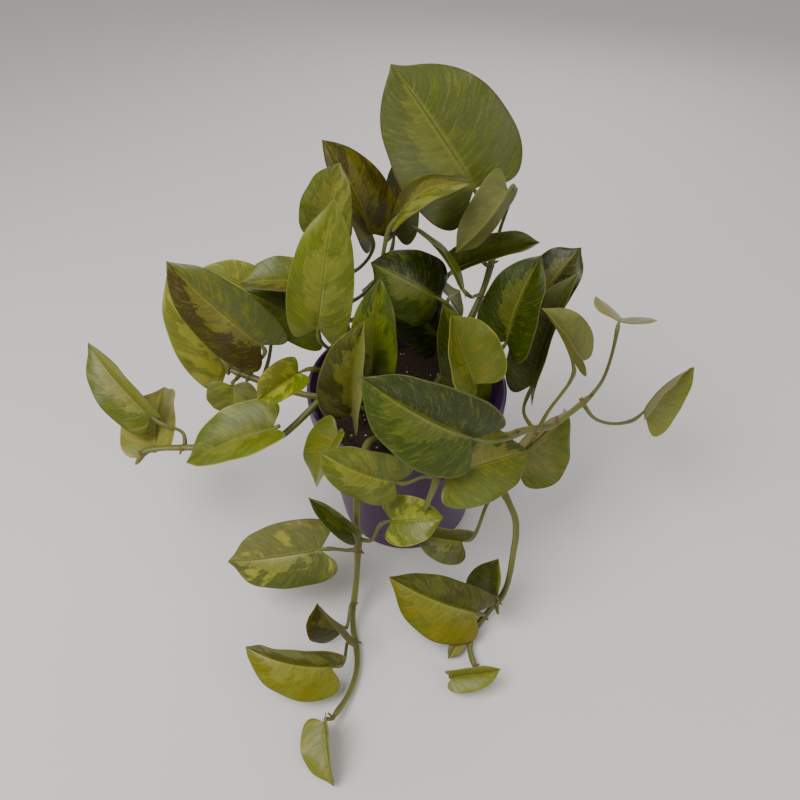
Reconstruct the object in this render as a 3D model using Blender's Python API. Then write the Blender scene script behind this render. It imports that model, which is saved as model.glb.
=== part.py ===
"""A pothos plant in a plastic nursery pot, its vines trailing over the rim.

The pot stands on z = 0 with its axis on the Z axis. The front is towards -Y.
Every length is in metres. The lists of places are in millimetres, times MM.
"""
import math

import bmesh
import bpy
from mathutils import Matrix, Vector, noise

MM = 0.001

# Pot: a tapered tub with a thicker lip round its mouth
POT_HEIGHT = 0.140
RIM_RADIUS = 0.0745
SHOULDER_RADIUS = 0.0695
BASE_RADIUS = 0.0550
POT_WALL = 0.0016
FLOOR_THICKNESS = 0.0022
LIP_HEIGHT = 0.016
LIP_THICKNESS = 0.0026
FOOT_EDGE = 0.0020
LIP_EDGE = 0.0010
POT_SIDES = 40
DRAIN_COUNT = 8
DRAIN_RADIUS = 0.0045
DRAIN_RING_RADIUS = 0.0400
DRAIN_SIDES = 12

# Soil: fills the pot up to a little under the lip
SOIL_BELOW_RIM = 0.020
SOIL_LUMPS = 0.0022
LUMPS_PER_METRE = 70.0
SOIL_RINGS = (0.20, 0.42, 0.62, 0.80, 0.93)

# Clear air kept between two pieces that touch on the plant
GAP = 0.0003

# Vines
VINE_RADIUS = 0.0027
VINE_TIP_SHARE = 0.72
NODE_SWELLING = 0.28
NODE_REACH = 0.006
VINE_SIDES = 6
VINE_STEP = 0.013
ROUTE_DETAIL = 12
VINE_TIP_ROUND = 0.25
VINE_SEAM_SIDE = Vector((0.3, 1.0, 0.2))

# Leaves
PETIOLE_RADIUS = 0.0014
PETIOLE_CHANNEL = 0.45
PETIOLE_FLARE = 1.25
PETIOLE_RINGS = 5
PETIOLE_LEAVING = 0.35
KNEE_SHARE = 0.45
KNEE_LONGEST = 0.016
PETIOLE_END = 0.96
PETIOLE_LAST_GAP = 0.4
LEAF_THICKNESS = 0.0006
MIDRIB_RIDGE = 0.0010
MIDRIB_GROOVE = 0.0003
LEAF_PUFF = 0.030

# The pot round which the places of the vines and leaves below were set out
LAID_OUT_RIM_RADIUS = 0.0745
LAID_OUT_HEIGHT = 0.140

# Each blade row: place along the midrib, place of its margin, share of the half width
BLADE_ROWS = (
    (0.000, 0.000, 0.06),
    (0.025, -0.110, 0.42),
    (0.085, -0.110, 0.73),
    (0.180, 0.030, 0.94),
    (0.320, 0.240, 1.00),
    (0.480, 0.450, 0.95),
    (0.640, 0.640, 0.77),
    (0.790, 0.810, 0.47),
    (0.905, 0.925, 0.20),
    (0.970, 0.978, 0.06),
)

# The way that blades turn their upper side when nothing else turns them
LIGHT = Vector((0.0, -1.0, 1.0)).normalized()

POT_COLOUR = (0.055, 0.030, 0.075, 1.0)
SOIL_COLOUR = (0.035, 0.024, 0.017, 1.0)
STEM_COLOUR = (0.250, 0.270, 0.090, 1.0)
POT_ROUGHNESS = 0.45
SOIL_ROUGHNESS = 0.95
STEM_ROUGHNESS = 0.50
LEAF_ROUGHNESS = 0.38
LEAF_TONES = {
    "dark": (0.050, 0.110, 0.035, 1.0),
    "green": (0.120, 0.230, 0.040, 1.0),
    "bright": (0.270, 0.370, 0.050, 1.0),
    "gold": (0.420, 0.400, 0.090, 1.0),
    "olive": (0.170, 0.160, 0.040, 1.0),
    "pale": (0.400, 0.390, 0.200, 1.0),
}

# Each vine: its route from the soil outwards, as points in millimetres
VINES = {
    "front_left": (
        (-8, -25, 121), (-19, -48, 134), (-27, -67, 147), (-32, -81, 135), (-35, -88, 100),
        (-36, -88, 62), (-38, -101, 30), (-41, -122, 8), (-36, -151, 5), (-40, -173, 5),
        (-50, -191, 8),
    ),
    "front_right": (
        (12, -24, 121), (24, -46, 133), (38, -66, 147), (54, -76, 134), (66, -79, 112),
        (76, -90, 93), (76, -100, 74), (74, -108, 28), (61, -116, 6), (47, -136, 5),
        (49, -156, 5),
    ),
    "front_middle": (
        (2, -34, 121), (10, -54, 136), (17, -73, 149), (20, -86, 146), (17, -94, 136),
        (11, -99, 117),
    ),
    "left_low": (
        (-24, -16, 121), (-41, -24, 142), (-57, -30, 154), (-75, -42, 144), (-89, -48, 134),
        (-118, -52, 128), (-142, -52, 127), (-186, -45, 116), (-198, -49, 105),
    ),
    "left_high": (
        (-24, -4, 121), (-44, -16, 140), (-62, -24, 149), (-83, -23, 154), (-103, -18, 159),
        (-125, -12, 164),
    ),
    "right": (
        (28, -18, 121), (42, -38, 137), (52, -52, 147), (66, -58, 146), (82, -51, 144),
        (100, -43, 139), (118, -30, 141), (132, -20, 146),
    ),
    "crown_right": (
        (18, 4, 121), (32, 12, 150), (46, 24, 180), (57, 38, 205), (62, 50, 224),
    ),
    "crown_left": (
        (-12, 6, 121), (-28, 6, 150), (-42, 10, 178), (-44, 20, 205), (-38, 28, 224),
    ),
}

# Each leaf: vine, share of the way along it, base and tip of the blade in millimetres,
# width in millimetres, then roll about the midrib, fold at the midrib and further curl of
# each half in degrees, arch of the midrib as a share of the length, and tone
LEAVES = {
    "leaf_01": ("crown_right", 0.90, (45, 55, 267), (-11, 80, 337), 88, 2, 10, 5, 0.03, "green"),
    "leaf_02": ("crown_left", 0.96, (-25, 52, 234), (-57, 74, 292), 50, 35, 25, 5, 0.06, "olive"),
    "leaf_03": ("crown_left", 0.86, (-53, 28, 248), (-42, 38, 293), 44, -25, 10, 5, 0.04, "green"),
    "leaf_04": ("crown_left", 0.76, (-9, 73, 221), (-8, 103, 266), 38, 45, 15, 10, 0.05, "olive"),
    "leaf_05": ("crown_left", 0.66, (-6, 17, 269), (39, 16, 290), 30, -40, 5, 0, 0.16, "gold"),
    "leaf_06": ("crown_right", 1.00, (64, 36, 276), (31, 16, 242), 34, 140, 20, 20, -0.10, "pale"),
    "leaf_07": ("crown_right", 0.56, (20, 7, 213), (-24, 3, 243), 50, 0, -10, -10, 0.10, "dark"),
    "leaf_08": ("crown_right", 0.72, (35, 4, 224), (1, 18, 261), 28, 70, 10, 5, 0.08, "olive"),
    "leaf_09": ("crown_right", 0.42, (35, 36, 217), (94, 50, 229), 41, -10, 58, 10, 0.06, "olive"),
    "leaf_10": ("crown_right", 0.50, (69, -5, 184), (87, 12, 243), 52, -40, 20, -5, 0.06, "dark"),
    "leaf_11": ("crown_right", 0.42, (99, 42, 185), (125, 55, 222), 44, -30, 10, 0, 0.05, "olive"),
    "leaf_12": ("right", 0.62, (94, 0, 137), (120, 32, 216), 46, -45, 40, 10, 0.08, "olive"),
    "leaf_13": ("right", 0.66, (108, -35, 192), (82, -30, 232), 38, 40, 45, 0, 0.05, "pale"),
    "leaf_14": ("right", 1.00, (145, 0, 197), (166, 45, 162), 48, -50, 20, 0, 0.05, "pale"),
    "leaf_15": ("right", 0.95, (183, -5, 112), (222, 20, 138), 48, 45, 35, 10, -0.10, "gold"),
    "leaf_16": ("right", 0.76, (84, -35, 95), (127, 5, 105), 68, 40, 30, -5, 0.06, "olive"),
    "leaf_17": ("front_middle", 0.55, (25, -94, 149), (82, -62, 135), 50, -8, 4, 0, 0.08, "gold"),
    "leaf_18": ("right", 0.52, (39, -88, 177), (-28, -77, 218), 63, -25, 20, -5, 0.08, "dark"),
    "leaf_19": ("left_low", 0.14, (-38, -42, 152), (-27, -32, 224), 48, -28, 40, 5, 0.05, "olive"),
    "leaf_20": ("crown_left", 0.30, (-24, -32, 175), (-17, -12, 242), 38, -5, 28, 5, 0.04, "bright"),
    "leaf_21": ("crown_left", 0.50, (-60, -12, 202), (-44, 6, 286), 44, 0, 10, 0, 0.05, "bright"),
    "leaf_22": ("crown_right", 0.28, (23, 11, 175), (-22, 29, 220), 42, -5, 5, -10, 0.08, "green"),
    "leaf_23": ("right", 0.12, (45, -38, 175), (27, -25, 223), 56, 35, 25, 5, -0.05, "bright"),
    "leaf_24": ("crown_right", 0.12, (47, -12, 134), (23, -2, 215), 40, 15, 10, 0, 0.05, "dark"),
    "leaf_25": ("left_high", 0.88, (-100, -10, 185), (-155, 5, 243), 48, -10, 18, -5, 0.06, "olive"),
    "leaf_26": ("left_high", 1.00, (-130, -5, 156), (-159, 15, 231), 47, -5, 15, 0, 0.05, "gold"),
    "leaf_27": ("left_high", 0.80, (-109, 32, 197), (-144, 38, 216), 36, 20, 10, 0, 0.05, "bright"),
    "leaf_28": ("crown_left", 0.60, (-72, 12, 222), (-113, 12, 220), 34, 30, 30, 0, 0.05, "gold"),
    "leaf_29": ("crown_left", 0.40, (-62, 12, 181), (-113, 22, 208), 38, 10, 10, -10, 0.05, "dark"),
    "leaf_30": ("left_high", 0.36, (-70, -45, 192), (-96, -60, 181), 36, 0, 45, 10, 0.05, "bright"),
    "leaf_31": ("left_high", 0.94, (-122, -24, 161), (-123, -32, 136), 36, 0, 10, 0, 0.05, "green"),
    "leaf_32": ("left_low", 0.55, (-88, -62, 158), (-148, -75, 137), 47, 35, 28, -5, 0.05, "bright"),
    "leaf_33": ("left_low", 0.78, (-189, -22, 128), (-234, 15, 167), 42, -25, 30, 0, 0.05, "olive"),
    "leaf_34": ("left_low", 0.94, (-188, -33, 104), (-194, 24, 113), 54, -15, 25, 0, 0.05, "pale"),
    "leaf_35": ("front_left", 0.24, (-45, -65, 157), (-62, -80, 118), 38, 50, 25, 0, 0.08, "gold"),
    "leaf_36": ("front_middle", 0.72, (-8, -93, 140), (-56, -87, 164), 44, -30, 12, -15, 0.08, "gold"),
    "leaf_37": ("front_left", 0.50, (-11, -95, 100), (24, -101, 112), 36, -5, 15, 0, 0.06, "bright"),
    "leaf_38": ("front_left", 0.52, (-39, -95, 85), (-67, -90, 120), 22, 5, 50, 0, 0.05, "dark"),
    "leaf_39": ("front_left", 0.54, (-62, -94, 62), (-133, -96, 48), 50, 0, 8, -15, 0.08, "green"),
    "leaf_40": ("front_right", 0.38, (38, -102, 85), (5, -104, 99), 34, -15, 30, 10, 0.05, "olive"),
    "leaf_41": ("front_right", 0.84, (51, -124, 24), (-13, -106, 44), 56, -15, 22, -5, 0.08, "olive"),
    "leaf_42": ("front_right", 0.78, (66, -107, 20), (67, -99, 58), 42, -45, 42, 0, 0.04, "green"),
    "leaf_43": ("front_right", 0.90, (41, -134, 8), (30, -150, 4), 12, 0, 15, 0, 0.04, "pale"),
    "leaf_44": ("front_right", 1.00, (32, -165, 10), (66, -163, 18), 24, 5, 40, 0, 0.04, "gold"),
    "leaf_45": ("front_left", 0.70, (-46, -132, 16), (-63, -131, 52), 44, -38, 42, 0, 0.04, "green"),
    "leaf_46": ("front_left", 0.80, (-52, -164, 24), (-113, -153, 32), 48, -20, 28, -5, 0.10, "gold"),
    "leaf_47": ("front_left", 1.00, (-55, -197, 14), (-47, -233, 4), 36, 40, 35, 0, 0.05, "pale"),
    "leaf_48": ("crown_left", 0.20, (-20, 68, 172), (-38, 116, 142), 50, 170, 10, 0, 0.08, "green"),
    "leaf_49": ("crown_right", 0.20, (34, 68, 170), (48, 120, 138), 50, 190, 10, 0, 0.08, "dark"),
    "leaf_50": ("crown_left", 0.35, (-62, 50, 175), (-100, 90, 150), 48, 150, 10, 0, 0.08, "green"),
}


def clear_scene():
    """Empty the scene of whatever the program started with."""
    for thing in list(bpy.data.objects):
        bpy.data.objects.remove(thing)


def plain_material(name, colour, roughness):
    """One Principled material of an even colour."""
    material = bpy.data.materials.new(name)
    material.use_nodes = True
    shader = material.node_tree.nodes["Principled BSDF"]
    shader.inputs["Base Color"].default_value = colour
    shader.inputs["Roughness"].default_value = roughness
    material.diffuse_color = colour
    return material


def add_object(name, bm, material):
    """Put a finished bmesh into the scene as one smooth object."""
    mesh = bpy.data.meshes.new(name)
    bmesh.ops.recalc_face_normals(bm, faces=bm.faces)
    bm.to_mesh(mesh)
    bm.free()
    mesh.shade_smooth()
    mesh.materials.append(material)
    thing = bpy.data.objects.new(name, mesh)
    bpy.context.collection.objects.link(thing)
    return thing


def turned(profile, sides):
    """Spin a closed profile of (radius, height) corners round the Z axis."""
    bm = bmesh.new()
    corners = [bm.verts.new((radius, 0.0, height)) for radius, height in profile]
    edges = [bm.edges.new(pair) for pair in zip(corners, corners[1:])]
    bmesh.ops.spin(
        bm, geom=corners + edges, cent=(0, 0, 0), axis=(0, 0, 1),
        angle=math.tau, steps=sides, use_merge=True,
    )
    bmesh.ops.remove_doubles(bm, verts=bm.verts, dist=1e-6)
    return bm


def pot_outside_radius(height):
    """Radius of the tapered outer wall under the lip."""
    share = height / (POT_HEIGHT - LIP_HEIGHT)
    return BASE_RADIUS + (SHOULDER_RADIUS - BASE_RADIUS) * share


def pot_inside_radius(height):
    """Radius of the inner wall, up to the foot of the lip."""
    return pot_outside_radius(height) - POT_WALL


def build_pot():
    """The tub: floor with drain holes, tapered wall, thick rounded lip."""
    lip_foot = POT_HEIGHT - LIP_HEIGHT
    lip_inside = RIM_RADIUS - LIP_THICKNESS
    profile = [
        (0.0, 0.0),
        (BASE_RADIUS - FOOT_EDGE, 0.0),
        (BASE_RADIUS - 0.3 * FOOT_EDGE, 0.3 * FOOT_EDGE),
        (pot_outside_radius(FOOT_EDGE), FOOT_EDGE),
        (SHOULDER_RADIUS, lip_foot),
        (RIM_RADIUS - 0.8 * LIP_EDGE, lip_foot + LIP_EDGE),
        (RIM_RADIUS, POT_HEIGHT - 1.2 * LIP_EDGE),
        (RIM_RADIUS - LIP_EDGE, POT_HEIGHT),
        (lip_inside + 0.6 * LIP_EDGE, POT_HEIGHT),
        (lip_inside, POT_HEIGHT - 0.8 * LIP_EDGE),
        (pot_inside_radius(lip_foot), lip_foot - LIP_EDGE),
        (pot_inside_radius(FLOOR_THICKNESS), FLOOR_THICKNESS),
        (0.0, FLOOR_THICKNESS),
    ]
    pot = add_object("pot", turned(profile, POT_SIDES), plain_material("pot", POT_COLOUR, POT_ROUGHNESS))
    cutter = bmesh.new()
    for index in range(DRAIN_COUNT):
        turn = Matrix.Rotation(math.tau * (index + 0.5) / DRAIN_COUNT, 4, "Z")
        place = turn @ Matrix.Translation((DRAIN_RING_RADIUS, 0.0, 0.5 * FLOOR_THICKNESS))
        bmesh.ops.create_cone(
            cutter, cap_ends=True, segments=DRAIN_SIDES, radius1=DRAIN_RADIUS,
            radius2=DRAIN_RADIUS, depth=4.0 * FLOOR_THICKNESS, matrix=place,
        )
    drains = add_object("drain_cutter", cutter, pot.data.materials[0])
    drains.hide_render = True
    drains.display_type = "WIRE"
    cut = pot.modifiers.new("drain_holes", "BOOLEAN")
    cut.operation = "DIFFERENCE"
    cut.solver = "EXACT"
    cut.object = drains


def soil_top():
    """Height of the highest crumbs of the soil."""
    return POT_HEIGHT - SOIL_BELOW_RIM


def build_soil():
    """The potting mix: it fills the tub and its top is lumpy."""
    low = FLOOR_THICKNESS + GAP
    edge = pot_inside_radius(soil_top()) - GAP
    profile = [(0.0, low), (pot_inside_radius(low) - GAP, low), (edge, soil_top() - SOIL_LUMPS)]
    profile += [(share * edge, soil_top()) for share in reversed(SOIL_RINGS)]
    profile.append((0.0, soil_top()))
    bm = turned(profile, POT_SIDES)
    for vert in bm.verts:
        if vert.co.z > soil_top() - 0.5 * SOIL_LUMPS:
            lump = 0.5 + 0.5 * noise.noise(vert.co * LUMPS_PER_METRE)
            vert.co.z -= SOIL_LUMPS * min(max(lump, 0.02), 1.0)
    add_object("soil", bm, plain_material("soil", SOIL_COLOUR, SOIL_ROUGHNESS))


def beside_pot(place):
    """Carry a laid-out place along when the pot's radius or height differs."""
    x, y, z = (MM * value for value in place)
    reach = math.hypot(x, y)
    if reach > LAID_OUT_RIM_RADIUS:
        wider = (reach + RIM_RADIUS - LAID_OUT_RIM_RADIUS) / reach
    else:
        wider = RIM_RADIUS / LAID_OUT_RIM_RADIUS
    if z > LAID_OUT_HEIGHT - SOIL_BELOW_RIM:
        z += POT_HEIGHT - LAID_OUT_HEIGHT
    else:
        z *= (POT_HEIGHT - SOIL_BELOW_RIM) / (LAID_OUT_HEIGHT - SOIL_BELOW_RIM)
    return Vector((x * wider, y * wider, z))


def smooth_route(points, step):
    """Even points along a smooth curve through the given ones."""
    fine = []
    padded = [2 * points[0] - points[1]] + points + [2 * points[-1] - points[-2]]
    for before, start, end, after in zip(padded, padded[1:], padded[2:], padded[3:]):
        for index in range(ROUTE_DETAIL):
            t = index / ROUTE_DETAIL
            fine.append(0.5 * (
                2 * start + t * (end - before)
                + t * t * (2 * before - 5 * start + 4 * end - after)
                + t * t * t * (3 * start - before - 3 * end + after)
            ))
    fine.append(points[-1])
    walked = [0.0]
    for start, end in zip(fine, fine[1:]):
        walked.append(walked[-1] + (end - start).length)
    count = max(3, round(walked[-1] / step))
    route = []
    nearest = 0
    for index in range(count + 1):
        goal = walked[-1] * index / count
        while nearest < len(fine) - 2 and walked[nearest + 1] < goal:
            nearest += 1
        share = (goal - walked[nearest]) / (walked[nearest + 1] - walked[nearest])
        route.append(fine[nearest].lerp(fine[nearest + 1], share))
    return route


def tangents(route):
    """Direction of the route at each of its points."""
    ways = []
    for index in range(len(route)):
        before = route[max(index - 1, 0)]
        after = route[min(index + 1, len(route) - 1)]
        ways.append((after - before).normalized())
    return ways


def carried_side(side, way):
    """The side direction, kept square to a new way with as little turn as possible."""
    return (side - way * side.dot(way)).normalized()


def loft(rings, start_pole, end_pole):
    """One closed skin over a row of rings, with a pole at each end."""
    bm = bmesh.new()
    rows = [[bm.verts.new(point) for point in ring] for ring in rings]
    count = len(rows[0])
    first = bm.verts.new(start_pole)
    last = bm.verts.new(end_pole)
    for index in range(count):
        after = (index + 1) % count
        bm.faces.new((first, rows[0][after], rows[0][index]))
        bm.faces.new((last, rows[-1][index], rows[-1][after]))
        for row, above in zip(rows, rows[1:]):
            bm.faces.new((row[index], row[after], above[after]))
            bm.faces.new((row[index], above[after], above[index]))
    return bm


class Vine:
    """A stem along its route, which the leaves ask for the places of their feet."""

    def __init__(self, name, places):
        self.name = name
        points = [beside_pot(place) for place in places]
        points[0].z = soil_top() + 2.0 * GAP
        self.route = smooth_route(points, VINE_STEP)
        self.ways = tangents(self.route)
        self.ways[0] = Vector((0.0, 0.0, 1.0))
        self.nodes = []

    def at(self, share):
        """Place and direction at a share of the way along."""
        last = len(self.route) - 1
        index = min(int(share * last), last - 1)
        part = share * last - index
        place = self.route[index].lerp(self.route[index + 1], part)
        way = self.ways[index].lerp(self.ways[index + 1], part).normalized()
        return place, way

    def radius(self, place, share):
        """Thickness of the stem, swollen where a leaf grows from it."""
        taper = 1.0 + (VINE_TIP_SHARE - 1.0) * share
        swelling = 0.0
        for node in self.nodes:
            near = (place - node).length / NODE_REACH
            swelling = max(swelling, math.exp(-near * near))
        return VINE_RADIUS * taper * (1.0 + NODE_SWELLING * swelling)

    def foot(self, share, goal):
        """Where a petiole leaves the stem on its way to goal, and in which direction."""
        place, way = self.at(share)
        if share >= 0.999:
            return place + way * (2.0 * GAP + 0.3 * VINE_RADIUS), way
        outward = carried_side(goal - place, way)
        reach = VINE_RADIUS * (1.0 + NODE_SWELLING) + 2.0 * GAP
        return place + outward * reach, outward

    def build(self):
        """The stem itself, as a slightly knotty tube."""
        material = plain_material("vine_" + self.name, STEM_COLOUR, STEM_ROUGHNESS)
        side = carried_side(VINE_SEAM_SIDE, self.ways[0])
        rings = []
        last = len(self.route) - 1
        for index, (centre, way) in enumerate(zip(self.route, self.ways)):
            side = carried_side(side, way)
            across = way.cross(side)
            radius = self.radius(centre, index / last)
            ring = []
            for corner in range(VINE_SIDES):
                turn = math.tau * corner / VINE_SIDES
                ring.append(centre + radius * (math.cos(turn) * side + math.sin(turn) * across))
            rings.append(ring)
        start_pole = self.route[0] - self.ways[0] * (0.5 * GAP)
        end_pole = self.route[-1] + self.ways[-1] * (VINE_TIP_ROUND * VINE_RADIUS)
        add_object("vine_" + self.name, loft(rings, start_pole, end_pole), material)


class Leaf:
    """A blade and its petiole, grown as one piece."""

    def __init__(self, vine, share, base, tip, width, roll, fold, curl, arch):
        self.base = beside_pot(base)
        self.tip = beside_pot(tip)
        self.half_width = 0.5 * MM * width
        self.fold = math.radians(fold)
        self.curl = math.radians(curl)
        self.arch = arch
        self.along = (self.tip - self.base).normalized()
        self.length = (self.tip - self.base).length
        face = carried_side(LIGHT, self.along)
        face = Matrix.Rotation(math.radians(roll), 3, self.along) @ face
        self.face = face
        self.left = face.cross(self.along)
        self.foot, self.foot_way = vine.foot(share, self.base)

    def midrib(self, share):
        """A place on the arched midrib."""
        rise = self.arch * self.length * 4.0 * share * (1.0 - share)
        return self.base + self.along * (self.length * share) + self.face * rise

    def surface(self, share, reach):
        """Place and upward direction on the blade, reach metres to the left of the midrib."""
        side = math.copysign(1.0, reach)
        out = abs(reach) / self.half_width
        lean = self.fold + 0.5 * self.curl * out
        slope = self.fold + self.curl * out
        outward = self.left * side
        place = self.midrib(share)
        place = place + (outward * math.cos(lean) + self.face * math.sin(lean)) * abs(reach)
        upward = self.face * math.cos(slope) - outward * math.sin(slope)
        return place, upward

    def blade_ring(self, row):
        """Eight points round the blade: margin, top of the left half, midrib and so on."""
        along, margin, share = row
        half = share * self.half_width
        middle = 0.5 * (along + margin)
        thick = 0.5 * LEAF_THICKNESS
        puff = LEAF_PUFF * self.half_width * math.sqrt(share)
        ridge = MIDRIB_RIDGE * (1.0 - along) + 0.2 * LEAF_THICKNESS
        groove = MIDRIB_GROOVE * (1.0 - along)
        left_edge = self.surface(margin, half)[0]
        right_edge = self.surface(margin, -half)[0]
        left, left_up = self.surface(middle, 0.5 * half)
        right, right_up = self.surface(middle, -0.5 * half)
        left = left + left_up * puff
        right = right + right_up * puff
        spine = self.midrib(along)
        return [
            right_edge,
            right + right_up * thick,
            spine + self.face * (thick - groove),
            left + left_up * thick,
            left_edge,
            left - left_up * thick,
            spine - self.face * (thick + ridge),
            right - right_up * thick,
        ]

    def petiole_rings(self):
        """The channelled stalk, from its foot on the vine up to the blade."""
        span = (self.base - self.foot).length
        controls = [
            self.foot,
            self.foot + self.foot_way * (PETIOLE_LEAVING * span),
            self.base - self.along * min(KNEE_SHARE * span, KNEE_LONGEST),
            self.base,
        ]
        places = []
        ways = []
        for index in range(PETIOLE_RINGS):
            t = PETIOLE_END * index / (PETIOLE_RINGS - PETIOLE_LAST_GAP)
            s = 1.0 - t
            places.append(
                controls[0] * s ** 3 + controls[1] * (3 * s * s * t)
                + controls[2] * (3 * s * t * t) + controls[3] * t ** 3
            )
            ways.append((
                (controls[1] - controls[0]) * (s * s) + (controls[2] - controls[1]) * (2 * s * t)
                + (controls[3] - controls[2]) * (t * t)
            ).normalized())
        face = self.face
        rings = []
        for index in reversed(range(PETIOLE_RINGS)):
            way = ways[index]
            face = carried_side(face, way)
            left = face.cross(way)
            foot_flare = PETIOLE_FLARE if index == 0 else 1.0
            radius = PETIOLE_RADIUS * foot_flare
            ring = []
            for corner in range(8):
                turn = math.tau * corner / 8
                reach = radius * (1.0 - PETIOLE_CHANNEL if corner == 2 else 1.0)
                ring.append(
                    places[index] + (-left * math.cos(turn) + face * math.sin(turn)) * reach
                )
            rings.append(ring)
        rings.reverse()
        return rings

    def build(self, name, tone):
        """Skin the petiole and the blade in one go."""
        rings = self.petiole_rings() + [self.blade_ring(row) for row in BLADE_ROWS]
        start_pole = self.foot - self.foot_way * (0.5 * GAP)
        material = plain_material(name, LEAF_TONES[tone], LEAF_ROUGHNESS)
        add_object(name, loft(rings, start_pole, self.tip), material)


def build_plant():
    """All the vines, and the leaves that grow from them."""
    vines = {name: Vine(name, places) for name, places in VINES.items()}
    for name, values in LEAVES.items():
        vine = vines[values[0]]
        share = values[1]
        vine.nodes.append(vine.at(share)[0])
        Leaf(vine, share, *values[2:9]).build(name, values[9])
    for vine in vines.values():
        vine.build()


clear_scene()
build_pot()
build_soil()
build_plant()
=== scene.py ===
# %% [markdown]
# # A trailing pothos in its nursery pot
# The plant is fifty leaves on eight vines, in potting mix, in a plastic tub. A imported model
# already says where each of them is and how big it is. This script leaves that model as it
# is, and grows a detailed skin over each piece, with its own finish.

import math
import random

import bmesh
import bpy
from mathutils import Matrix, Vector, noise


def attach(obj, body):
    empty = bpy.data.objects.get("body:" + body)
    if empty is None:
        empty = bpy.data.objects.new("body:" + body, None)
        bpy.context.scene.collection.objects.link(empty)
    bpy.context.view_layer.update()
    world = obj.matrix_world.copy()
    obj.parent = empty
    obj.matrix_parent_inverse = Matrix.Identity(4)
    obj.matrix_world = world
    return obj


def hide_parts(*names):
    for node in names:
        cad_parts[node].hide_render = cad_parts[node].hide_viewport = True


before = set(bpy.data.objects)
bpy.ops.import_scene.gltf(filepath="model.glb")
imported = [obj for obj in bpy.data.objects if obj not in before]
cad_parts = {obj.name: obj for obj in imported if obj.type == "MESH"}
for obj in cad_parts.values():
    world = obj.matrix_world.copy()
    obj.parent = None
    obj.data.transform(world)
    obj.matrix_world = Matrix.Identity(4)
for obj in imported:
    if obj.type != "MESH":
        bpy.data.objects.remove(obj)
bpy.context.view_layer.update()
MM = 0.001
leaf_names = sorted(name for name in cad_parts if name.startswith("leaf_"))
vine_names = sorted(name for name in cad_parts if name.startswith("vine_"))
print(len(leaf_names), "leaves and", len(vine_names), "vines in the frame")

# %% [markdown]
# ## The stage
# The plant stands on a plain pale floor, seen from in front and well above, at about 45
# degrees. A camera could be aimed by a constraint, but a plain place and tilt are easy to
# read, and nothing that is added later can move them.

# %% Camera
CAMERA_PLACE = Vector((-0.005, -0.354, 0.476))
CAMERA_TILT = math.radians(45.0)
CAMERA_LENS = 29.4
CAMERA_NEAREST = 10.0 * MM

camera = bpy.data.objects.new("camera", bpy.data.cameras.new("camera"))
bpy.context.scene.collection.objects.link(camera)
camera.location = CAMERA_PLACE
camera.rotation_euler = (CAMERA_TILT, 0.0, 0.0)
camera.data.lens = CAMERA_LENS
camera.data.clip_start = CAMERA_NEAREST
bpy.context.scene.camera = camera
print("camera at", tuple(round(value, 3) for value in CAMERA_PLACE))

# %% [markdown]
# ## Soft light
# One broad soft lamp high on the left gives the leaves their long highlights, and a weaker
# one on the right keeps the shaded sides readable. A third stands behind the plant. Lamps can
# be small and bright, but broad ones give the soft edges that daylight gives indoors. An even
# sky fills in what the lamps leave dark.

# %% Lamps and sky
# power, place, the point that the lamp faces, and its width in metres
LAMPS = {
    "key_lamp": (12.0, (-0.55, -0.35, 1.10), (0.0, 0.0, 0.15), 0.7),
    "fill_lamp": (3.0, (0.80, -0.60, 0.70), (0.0, 0.0, 0.10), 0.8),
    "back_lamp": (3.5, (0.30, 1.00, 0.80), (0.0, 0.0, 0.15), 0.8),
}
SKY_TINT = (1.0, 0.985, 0.97, 1.0)
SKY_STRENGTH = 0.44

for name, (power, place, aim, width) in LAMPS.items():
    lamp = bpy.data.lights.new(name, "AREA")
    lamp.size = width
    lamp.energy = power
    thing = bpy.data.objects.new(name, lamp)
    thing.location = place
    thing.rotation_euler = (Vector(aim) - Vector(place)).to_track_quat("-Z", "Y").to_euler()
    bpy.context.scene.collection.objects.link(thing)
sky = bpy.data.worlds.new("sky")
sky.use_nodes = True
background = sky.node_tree.nodes["Background"]
background.inputs["Color"].default_value = SKY_TINT
background.inputs["Strength"].default_value = SKY_STRENGTH
bpy.context.scene.world = sky
print(len(LAMPS), "lamps and an even sky")

# %% [markdown]
# ## Writing materials as sums
# A material is a web of nodes, and its maths is hard to read when every plus is a node of its
# own. A small class can wrap a socket and give it the usual operators, so that an expression
# such as 1 - mask * 0.5 adds the Math nodes by itself. Colours go through Mix nodes, because
# a Math node would turn them grey.

# %% A socket that can be added and multiplied
class Socket:
    """A node's output, on which Python's operators work."""

    def __init__(self, shop, link):
        self.shop = shop
        self.link = link

    def maths(self, operation, *others):
        return self.shop.node("ShaderNodeMath", {"operation": operation}, [self, *others])

    def __add__(self, other):
        return self.maths("ADD", other)

    __radd__ = __add__

    def __sub__(self, other):
        return self.maths("SUBTRACT", other)

    def __rsub__(self, other):
        return self.shop.node("ShaderNodeMath", {"operation": "SUBTRACT"}, [other, self])

    def __mul__(self, other):
        return self.maths("MULTIPLY", other)

    __rmul__ = __mul__

    def __pow__(self, other):
        return self.maths("POWER", other)

    def __abs__(self):
        return self.maths("ABSOLUTE")

print("sockets can be added, taken away, multiplied and raised to a power")

# %% [markdown]
# ## A shop that makes nodes
# Every other node comes from one place: a shop that takes the node's type, its settings and
# its inputs. Each node could be made by hand with a few lines of its own, but the same lines
# would then stand in every finish. The shop also knows the habits of this plant's paint: soft
# steps, mixes of colours, noise, and numbers that are stored on the mesh.

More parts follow.
